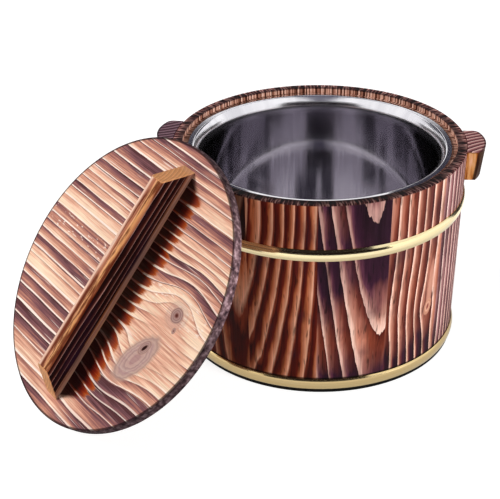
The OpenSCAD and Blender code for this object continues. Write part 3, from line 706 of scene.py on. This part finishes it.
def burnt_cedar_handle():
    """Bar handle: black burnt sides, a golden top with flame marks and a painted highlight, sawn ends.
    """
    material, tree = new_material("burnt_brushed_cedar_handle")
    middle, _, y, n = lid_axes()
    spot, a, i, l = wood_axes(tree, middle + y * HANDLE_OFF + n * HANDLE_H, y, -n)
    rings = stave_rings(tree, spot, a, i, l, {**SPLIT, **HANDLE_CUT})
    down = add(tree, "MapRange", (i, *HANDLE_SIDE))
    burn = add(tree, "MapRange", (i, *HANDLE_BURN))
    burn = add(tree, "Math", (down, burn), operation="MULTIPLY")
    reach = add(tree, "Math", (l,), operation="ABSOLUTE")
    reach = add(tree, "Math", (i, -HANDLE_SLOPE, reach), operation="MULTIPLY_ADD")
    within = add(tree, "MapRange", (reach, *HANDLE_END))
    burn = add(tree, "Math", (burn, within), operation="MULTIPLY")
    colour, rough, height = burnt_cedar(tree, spot, rings, burn, HANDLE_PALE, HANDLE_CHARRED)
    patch = streaks(tree, spot, *TOP_PATCH)
    band = add(tree, "MapRange", (a, *TOP_BANDS))
    band = add(tree, "Math", (patch, TOP_WANDER, band), operation="MULTIPLY_ADD")
    # The pale band along the top's left side is a painted highlight
    top = add(tree, "ValToRGB", [band], stops=HANDLE_TOP_AND_EDGE_HIGHLIGHT)
    flame = streaks(tree, spot, *FLAME)
    low = add(tree, "MapRange", (l, *FLAME_LOW))
    flame = add(tree, "Math", (flame, low), operation="ADD")
    flame = add(tree, "MapRange", (flame, *FLAME_SHOWS))
    left = add(tree, "MapRange", (a, *FLAME_LEFT))
    flame = add(tree, "Math", (flame, left), operation="MULTIPLY")
    top = add(tree, "Mix", {0: flame, 6: top, 7: tint(FLAME_MARK)}, out=2, data_type="RGBA")
    fibre = streaks(tree, spot, *TOP_FIBRE)
    fibre = add(tree, "MapRange", (fibre, *MOST, *TOP_SHADE))
    top = add(tree, "VectorMath", {0: top, "Scale": fibre}, operation="SCALE")
    face = add(tree, "Math", (down, -1.0, within), operation="MULTIPLY_ADD", use_clamp=True)
    dusty = add(tree, "MapRange", (i, *HANDLE_DUST))
    sawn = add(tree, "MapRange", (within, *SAWN_SHOWS))
    colour = layered(tree, colour, (face, top), (dusty, tint(HANDLE_DUSTY)), (sawn, tint(HANDLE_SAWN)))
    varnish(tree, colour, rough, height, HANDLE_GLOSS)
    return material


# The lugs, in millimetres: rings of their tops, streaks and tones of their sides, then the outer face,
# blackened as char and as painted shade, and the dark brink, which follow the bow, and the crease and
# the top, which follow the rim
LUG_CUT = {"pith": -70.0, "depth": 30.0, "spacing": 5.4, "sway": 2.0}
LUG_GRAIN = (3.6, 0.12, 4.0)
LUG_SIDE = [(0.34, "#6E3212"), (0.44, "#B06C36"), (0.54, "#CE9056"), (0.64, "#DCA684")]
LUG_TOPS = {
    "right_lug": [(0.0, "#30080E"), (0.3, "#6A343A"), (0.65, "#A87472"), (0.85, "#E4B4AC"),
                  (1.0, "#F4CCC4")],
    "left_lug": [(0.0, "#1C0810"), (0.3, "#40242E"), (0.65, "#6A4A56"), (0.85, "#94747E"),
                 (1.0, "#A48890")],
}
LUG_CHAR_AND_SHADE = "#1A0604"
LUG_OUTER_CHAR_AND_SHADE = (LUG_BOW_R - 2.6, LUG_BOW_R - 1.6, 0.0, 0.95)
LUG_BRINK = (LUG_BOW_R - 2.0, LUG_BOW_R - 1.0, 1.0, 0.3)
LUG_CREASE = (TUB_H - 2.2, TUB_H - 1.2, 0.0, 0.6)
LUG_TOP = (TUB_H - 1.2, TUB_H - 0.4, 0.0, 1.0)


def burnt_cedar_lug(name):
    """One lug: golden streaked sides, an outer face blackened as char and as painted shade, and a lined
    top.
    """
    material, tree = new_material("burnt_brushed_cedar_" + name)
    turn = math.radians(LUG_TURNS[name])
    radial = Vector((math.cos(turn), math.sin(turn), 0.0))
    across = Vector((-math.sin(turn), math.cos(turn), 0.0))
    spot, a, i, l = wood_axes(tree, radial * (RIM_R + LUG_OUT), across, -radial)
    rings = stave_rings(tree, spot, a, i, l, {**SPLIT, **LUG_CUT})
    grain = streaks(tree, spot, *LUG_GRAIN)
    colour = add(tree, "ValToRGB", [grain], stops=LUG_SIDE)
    bow = add(tree, "Math", (i, -1.0, LUG_BOW_R), operation="MULTIPLY_ADD")
    bow = add(tree, "CombineXYZ", (a, bow))
    bow = add(tree, "VectorMath", [bow], out="Value", operation="LENGTH")
    undercut = add(tree, "MapRange", (l, TUB_H - LUG_H, TUB_H, LUG_UNDERCUT, 0.0))
    bow = add(tree, "Math", (bow, undercut), operation="ADD")
    # The outer face, blackened as char and as painted shade, and the dark crease
    outer = add(tree, "MapRange", (bow, *LUG_OUTER_CHAR_AND_SHADE))
    crease = add(tree, "MapRange", (l, *LUG_CREASE))
    dark = add(tree, "Math", (outer, crease), operation="MAXIMUM")
    part = add(tree, "Math", (rings,), operation="FRACT")
    lined = add(tree, "ValToRGB", [part], stops=LUG_TOPS[name])
    brink = add(tree, "MapRange", (bow, *LUG_BRINK))
    lined = add(tree, "VectorMath", {0: lined, "Scale": brink}, operation="SCALE")
    top = add(tree, "MapRange", (l, *LUG_TOP))
    colour = layered(tree, colour, (dark, tint(LUG_CHAR_AND_SHADE)), (top, lined))
    rough = add(tree, "MapRange", (grain, *MOST, *FIBRE_ROUGH))
    varnish(tree, colour, rough, grain)
    return material


BOTTOM_CUT = {"z": 0.0, "depth": 12.0, "sway": 5.0}


def plain_cedar_bottom(k):
    """One bottom plank, planed and left unburnt: pale wood with thin dark lines, each plank its own."""
    material, tree = new_material("planed_cedar_bottom_%d" % k)
    turn = math.radians(BOARD_TURN)
    across = Vector((math.cos(turn), math.sin(turn), 0.0))
    spot, a, i, l = wood_axes(tree, Vector((0.0, 0.0, BOARD_LIFT)), across, Vector((0.0, 0.0, 1.0)))
    rings = stave_rings(tree, spot, a, i, l, {**SPLIT, **BOTTOM_CUT, **BOTTOM_SPLITS[k]})
    colour, rough, height = burnt_cedar(tree, spot, rings, 0.0, RAW_PALE, RAW_PALE, sooty=0.0)
    varnish(tree, colour, rough, height)
    return material


# Fine patterns: sizes in millimetres, tones and roughness. The lines of the polishing wheel are drawn
# coarser than real, so that they show. The lower hoop's deeper, more orange tones are painted shade, for
# the shaded floor near the foot that it reflects.
STRAND_MM = (2.0,) * 3
BAMBOO = ("#B89058", "#DEC08A")
BAMBOO_ROUGH = 0.5
WHEEL_LINE_MM = (100.0, 100.0, 0.5)
BRASS_WITH_LOWER_HOOP_SHADE = {"upper_hoop": ("#F4DEA4", "#FCEEC6"), "lower_hoop": ("#ECCC8C", "#F6DEAA")}
BRASS_ROUGH = (0.08, 0.2)
SPANGLE_MM = (1 / 0.7,) * 3
ZINC = ("#9A9CA0", "#B8BABC")
ZINC_ROUGH = (0.25, 0.45)


def fine_skin(name, size, detail, tones, rough, metallic=1.0):
    """A surface with one fine pattern in its tones, and in its roughness where that varies."""
    material, tree = new_material(name)
    rest = add(tree, "TexCoord", out="Object")
    spot = add(tree, "VectorMath", (rest, [1 / (mm * MM) for mm in size]), operation="MULTIPLY")
    skin = add(tree, "TexNoise", {"Vector": spot, "Scale": 1.0, "Detail": detail})
    colour = add(tree, "ValToRGB", [skin], stops=list(zip(MOST, tones)))
    if isinstance(rough, tuple):
        rough = add(tree, "MapRange", (skin, *MOST, *rough))
    shade = add(tree, "BsdfPrincipled", {"Base Color": colour, "Metallic": metallic, "Roughness": rough})
    add(tree, "OutputMaterial", [shade])
    return material


def split_bamboo():
    """Split bamboo, left bare: straw-coloured strands with a half-dull skin."""
    return fine_skin("split_bamboo", STRAND_MM, 3.0, BAMBOO, BAMBOO_ROUGH, metallic=0.0)


def polished_brass(name):
    """Rolled brass, polished on a wheel: clear warm reflections with faint lines round the hoop."""
    return fine_skin("polished_brass_" + name, WHEEL_LINE_MM, 3.0, BRASS_WITH_LOWER_HOOP_SHADE[name], BRASS_ROUGH)


def plated_screw_steel():
    """Zinc-plated steel: cool grey, cloudy and half dull."""
    return fine_skin("zinc_plated_steel", SPANGLE_MM, 2.0, ZINC, ZINC_ROUGH)


# Steel, in millimetres: the brush lines, the wide bands, the scoured and the buffed patches, where the
# lip begins and the floor ends, then roughness and tones of each
BRUSH_MM = 1.0
BRUSH_DRAWN = 0.02
BAND_MM = 16.0
BAND_SHOW = 0.7
SCOUR_MM = 30.0
BUFF_MM = 24.0
LIP_FROM = (LIP_Z - 3.0, LIP_Z + 3.0, 0.0, 1.0)
FLOOR_TO = (LINER_FLOOR_Z + 2.0, LINER_FLOOR_Z + 7.0, 1.0, 0.0)
WALL_ROUGH = (0.06, 0.12)
LIP_ROUGH = (FLANGE_Z - 0.6, FLANGE_Z - 0.2, 0.2, 0.06)
SCOURED = (0.35, 0.65, 0.08, 0.2)
WALL_TONES = [(0.6, "#BAB7BE"), (1.1, "#D0CDD3")]
BUFFED_TONES = [(0.35, "#DEDCE2"), (0.6, "#F8F6FA")]
LINER_FLOOR = "#E0DCE2"


def brushed_steel_liner():
    """Pressed stainless steel: a polished lip over a wall brushed up and down, a scoured floor."""
    material, tree = new_material("pressed_brushed_steel")
    rest = add(tree, "TexCoord", out="Object")
    parts = add(tree, "SeparateXYZ", [rest]).node.outputs
    high = add(tree, "Math", (parts["Z"], 1 / MM), operation="MULTIPLY")
    turn = add(tree, "Math", (parts["Y"], parts["X"]), operation="ARCTAN2")
    round_mm = add(tree, "Math", (turn, LINER_R), operation="MULTIPLY")
    drawn = add(tree, "Math", (high, BRUSH_DRAWN), operation="MULTIPLY")
    wall = add(tree, "CombineXYZ", (round_mm, drawn))
    brush = add(tree, "TexNoise", {"Vector": wall, "Scale": 1 / BRUSH_MM, "Detail": 4.0})
    lip = add(tree, "MapRange", (high, *LIP_FROM))
    rough = add(tree, "MapRange", (brush, *MOST, *WALL_ROUGH))
    polish = add(tree, "MapRange", (high, *LIP_ROUGH))
    rough = add(tree, "Mix", {0: lip, 2: rough, 3: polish})
    bands = add(tree, "TexNoise", {"Vector": wall, "Scale": 1 / BAND_MM, "Detail": 2.0})
    brush = add(tree, "Math", (bands, BAND_SHOW, brush), operation="MULTIPLY_ADD")
    colour = add(tree, "ValToRGB", [brush], stops=WALL_TONES)
    floor = add(tree, "MapRange", (high, *FLOOR_TO))
    scoured = add(tree, "TexNoise", {"Vector": wall, "Scale": 1 / SCOUR_MM, "Detail": 2.0})
    scoured = add(tree, "MapRange", (scoured, *SCOURED))
    rough = add(tree, "Mix", {0: floor, 2: rough, 3: scoured})
    buffed = add(tree, "TexNoise", {"Vector": wall, "Scale": 1 / BUFF_MM, "Detail": 3.0})
    buffed = add(tree, "ValToRGB", [buffed], stops=BUFFED_TONES)
    colour = layered(tree, colour, (floor, tint(LINER_FLOOR)), (lip, buffed))
    shade = add(tree, "BsdfPrincipled", {"Base Color": colour, "Metallic": 1.0, "Roughness": rough})
    add(tree, "OutputMaterial", [shade])
    return material


for k in range(1, STAVE_COUNT + 1):
    dress("stave_%02d" % k, burnt_cedar_stave(k))
lid_wood = burnt_cedar_lid()
for k in range(1, LID_PLANKS + 1):
    dress("lid_plank_%d" % k, lid_wood)
dress("lid_handle", burnt_cedar_handle())
for name in LUG_TURNS:
    dress(name, burnt_cedar_lug(name))
for k in BOTTOM_SPLITS:
    dress("bottom_plank_%d" % k, plain_cedar_bottom(k))
bamboo = split_bamboo()
for name in ("stave_pins", "bottom_dowels", "lug_dowels", "lid_dowels"):
    dress(name, bamboo)
for name in BRASS_WITH_LOWER_HOOP_SHADE:
    dress(name, polished_brass(name))
dress("liner", brushed_steel_liner())
dress("handle_screws", plated_screw_steel())

# Studio: a key light on the left, a softer light on the right, a white room. Lengths are in metres.

SET_MIDDLE = Vector((-0.05, -0.05, 0.1))


def lamp(name, direction, distance, size, level):
    """A lamp that lights a white face on the set to its level, kept out of the metal's reflections."""
    data = bpy.data.lights.new(name, "AREA")
    data.shape = "RECTANGLE"
    data.size = size
    data.size_y = size
    data.energy = level * math.pi ** 2 * distance ** 2
    obj = bpy.data.objects.new(name, data)
    way = Vector(direction).normalized()
    obj.location = SET_MIDDLE + way * distance
    obj.rotation_euler = (-way).to_track_quat("-Z", "Y").to_euler()
    obj.visible_glossy = False
    scene.collection.objects.link(obj)


lamp("key_lamp", (-0.882, 0.06, 0.466), distance=3.0, size=0.8, level=1.06)
lamp("right_softbox", (0.76, -0.6, 0.22), distance=2.4, size=1.1, level=1.15)

# Cards that only reflections show: what stands behind the camera, the dark floor in front of it, a grey
# band of backdrop and a boom overhead. A wall card spans degrees round the set and up a wide dome, a
# floor card degrees round and metres out from the tub, and the boom metres across and along.
CARD_R = 3.4
CARD_LIFT = 0.001
BOOM_Z = 2.5
CARD_STEPS = 12
NEAR_FLOOR = (0.44, CARD_R)
CARDS = [
    ("dark_wall", "wall", ((-130.0, -50.0), (0.0, 42.0)), "#2A2628"),
    ("dark_floor", "floor", ((-134.0, -40.0), NEAR_FLOOR), "#1E1A1C"),
    ("low_backdrop", "wall", ((20.0, 160.0), (0.0, 20.0)), "#3A3638"),
    ("back_floor", "floor", ((20.0, 160.0), NEAR_FLOOR), "#3A3638"),
    ("grey_backdrop_right", "wall", ((60.0, 85.6), (25.5, 40.0)), "#3E3C46"),
    ("grey_backdrop_left", "wall", ((94.4, 138.0), (25.5, 40.0)), "#3E3C46"),
    ("dark_boom", "boom", ((-0.4, 0.4), (-2.7, 2.9)), "#5C5A6A"),
]


def card_point(kind, first, second):
    """A point of a card from its two measures."""
    if kind == "boom":
        return Vector((first, second, BOOM_Z))
    turn = math.radians(first)
    way = Vector((math.cos(turn), math.sin(turn), 0.0))
    if kind == "floor":
        return way * second + Vector((0.0, 0.0, CARD_LIFT))
    rise = math.radians(second)
    return CARD_R * (way * math.cos(rise) + Vector((0.0, 0.0, math.sin(rise))))


def gloss_card(name, kind, span, tone):
    """A card of plain cloth in one tone, which only reflections show."""
    points = []
    row = CARD_STEPS + 1
    for i in range(row):
        for j in range(row):
            place = [low + (high - low) * step / CARD_STEPS for (low, high), step in zip(span, (i, j))]
            points.append(card_point(kind, *place))
    faces = [[i * row + j + corner for corner in (0, row, row + 1, 1)]
             for i in range(CARD_STEPS) for j in range(CARD_STEPS)]
    mesh = bpy.data.meshes.new(name)
    mesh.from_pydata(points, [], faces)
    card = bpy.data.objects.new(name, mesh)
    scene.collection.objects.link(card)
    for ray in ("camera", "diffuse", "shadow", "transmission"):
        setattr(card, "visible_" + ray, False)
    material, tree = new_material(name + "_cloth")
    shade = add(tree, "Emission", {"Color": tint(tone), "Strength": 1.0})
    add(tree, "OutputMaterial", [shade])
    mesh.materials.append(material)


for card in CARDS:
    gloss_card(*card)


def rays(tree, *kinds):
    """1 where one of these kinds of ray arrives."""
    path = add(tree, "LightPath").node.outputs
    arrived = path[kinds[0]]
    for kind in kinds[1:]:
        arrived = add(tree, "Math", (arrived, path[kind]), operation="MAXIMUM")
    return arrived


# The white floor, in metres: it glows less near the tub, where a shadow shows, and polished metal sees
# it in the tub's own shade close to the foot
FLOOR_HALF = 6.0
FLOOR_Z = -0.0002
FLOOR_GLOW = 0.86
FLOOR_WHITENS = (0.8, 1.8, FLOOR_GLOW, 1.0)
FOOT_SHADE = (0.12, 0.32, 0.35, FLOOR_GLOW)
FLOOR_GREY = (0.4, 0.4, 0.4, 1.0)
WHITE = (1.0, 1.0, 1.0, 1.0)
ROOM_LIGHT = 0.1

corners = [(x * FLOOR_HALF, y * FLOOR_HALF, FLOOR_Z) for x, y in ((-1, -1), (1, -1), (1, 1), (-1, 1))]
floor_mesh = bpy.data.meshes.new("studio_floor")
floor_mesh.from_pydata(corners, [], [(0, 1, 2, 3)])
floor = bpy.data.objects.new("studio_floor", floor_mesh)
scene.collection.objects.link(floor)
material, tree = new_material("pale_floor")
place = add(tree, "TexCoord", out="Object")
away = add(tree, "VectorMath", [place], out="Value", operation="LENGTH")
white = add(tree, "MapRange", (away, *FLOOR_WHITENS))
seen = rays(tree, "Is Camera Ray", "Is Transmission Ray")
seen = add(tree, "Math", (seen, white), operation="MULTIPLY")
shaded = add(tree, "MapRange", (away, *FOOT_SHADE))
mirrored = add(tree, "Math", (shaded, rays(tree, "Is Glossy Ray")), operation="MULTIPLY")
glow = add(tree, "Math", (seen, mirrored), operation="MAXIMUM")
glow = add(tree, "Emission", {"Color": WHITE, "Strength": glow})
lit = add(tree, "BsdfDiffuse", {"Color": FLOOR_GREY})
both = add(tree, "AddShader", (lit, glow))
add(tree, "OutputMaterial", [both])
floor_mesh.materials.append(material)

# The white room, which lights the set only a little
world = bpy.data.worlds.new("studio")
scene.world = world
world.use_nodes = True
tree = world.node_tree
tree.nodes.clear()
seen = rays(tree, "Is Camera Ray", "Is Glossy Ray", "Is Transmission Ray")
strength = add(tree, "MapRange", (seen, 0.0, 1.0, ROOM_LIGHT, 1.0))
shade = add(tree, "Background", {"Color": WHITE, "Strength": strength})
add(tree, "OutputWorld", [shade])

scene.view_settings.view_transform = "Standard"
